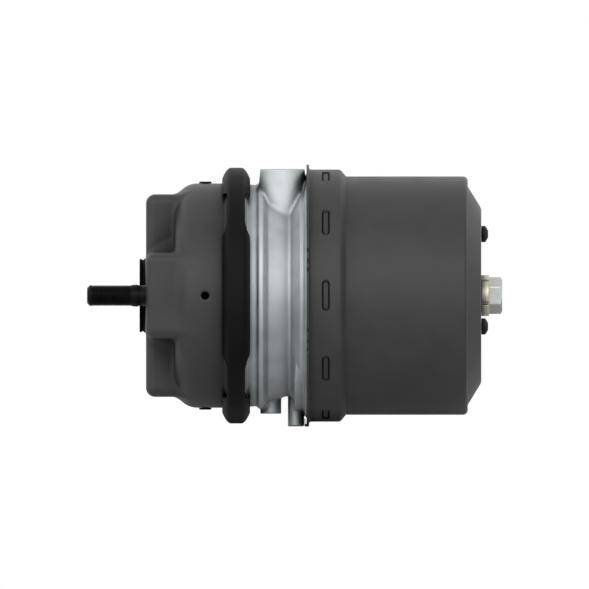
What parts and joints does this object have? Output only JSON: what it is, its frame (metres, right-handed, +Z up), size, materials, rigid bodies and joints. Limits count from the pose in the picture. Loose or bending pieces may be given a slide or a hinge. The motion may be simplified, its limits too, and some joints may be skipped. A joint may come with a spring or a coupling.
{
  "type": "spring brake actuator",
  "caption": "Combined brake actuator: a service diaphragm chamber with push rod and mounting studs, a cast centre flange with air ports, and a spring-powered parking chamber with release bolt.",
  "frame": {"origin": "centre of the mounting face, on the axis, between the two mounting studs", "axes": "+X along the actuator's axis towards the release bolt, the studs point to -X, +Z up with the air ports on top, -Y is the side that the picture shows"},
  "size_m": [0.3134, 0.2132, 0.1978],
  "materials": {
    "e_coat": "satin black-grey electrocoat",
    "clamp_black": "satin black coating",
    "cast_alu": "bright die casting",
    "rubber": "matt black",
    "zinc": "yellow zinc plate",
    "steel": "plain steel",
    "stud_steel": "dark phosphated steel",
    "spring_paint": "green epoxy powder",
    "bronze": "sintered bronze",
    "black_plastic": "matt black"
  },
  "bodies": {
    "housing": {"service_housing": "e_coat", "mounting_studs": "stud_steel", "mounting_seal": "rubber", "boot_retainer": "zinc", "drain_plugs": "black_plastic", "clamp_band": "clamp_black", "clamp_bolt": "zinc", "clamp_nut": "zinc", "centre_flange": "cast_alu", "guide_bush": "bronze", "bush_retainer": "steel", "rod_seals": "rubber", "housing_seal": "rubber", "spring_housing": "e_coat", "vent_caps": "black_plastic", "release_nut": "zinc", "lock_ring": "zinc", "diaphragm": "rubber", "pushrod_boot": "rubber", "return_spring": "steel", "power_spring": "spring_paint"},
    "pushrod_group": {"pushrod": "zinc", "push_plate": "zinc"},
    "parking_piston": {"piston": "cast_alu", "piston_tube": "steel", "thrust_cap": "steel", "tube_collar": "steel", "piston_seal": "rubber", "wear_ring": "black_plastic"},
    "release_thrust": {"thrust_washer": "steel"},
    "release_screw": {"release_bolt": "zinc", "bolt_end_nut": "steel"}
  },
  "joints": [
    {"name": "piston_slide", "type": "slide", "parent": "housing", "child": "parking_piston", "axis": [-1, 0, 0], "range_m": [0, 0.057], "deforming": ["power_spring"]},
    {"name": "pushrod_slide", "type": "slide", "parent": "housing", "child": "pushrod_group", "axis": [-1, 0, 0], "range_m": [0, 0.057], "stiffness_N_per_m": 1500, "springref_m": -0.05, "deforming": ["return_spring", "pushrod_boot", "diaphragm"]},
    {"name": "release_turn", "type": "hinge", "parent": "release_thrust", "child": "release_screw", "pos_m": [0.2591, 0, 0], "axis": [1, 0, 0], "range_deg": [0, 10260]},
    {"name": "release_travel", "type": "slide", "parent": "housing", "child": "release_thrust", "axis": [1, 0, 0], "range_m": [0, 0.057]}
  ],
  "couplings": [
    {"joint": "pushrod_slide", "follows": "piston_slide", "ratio": 1},
    {"joint": "release_turn", "follows": "release_travel", "rad_per_m": 3141.6}
  ]
}
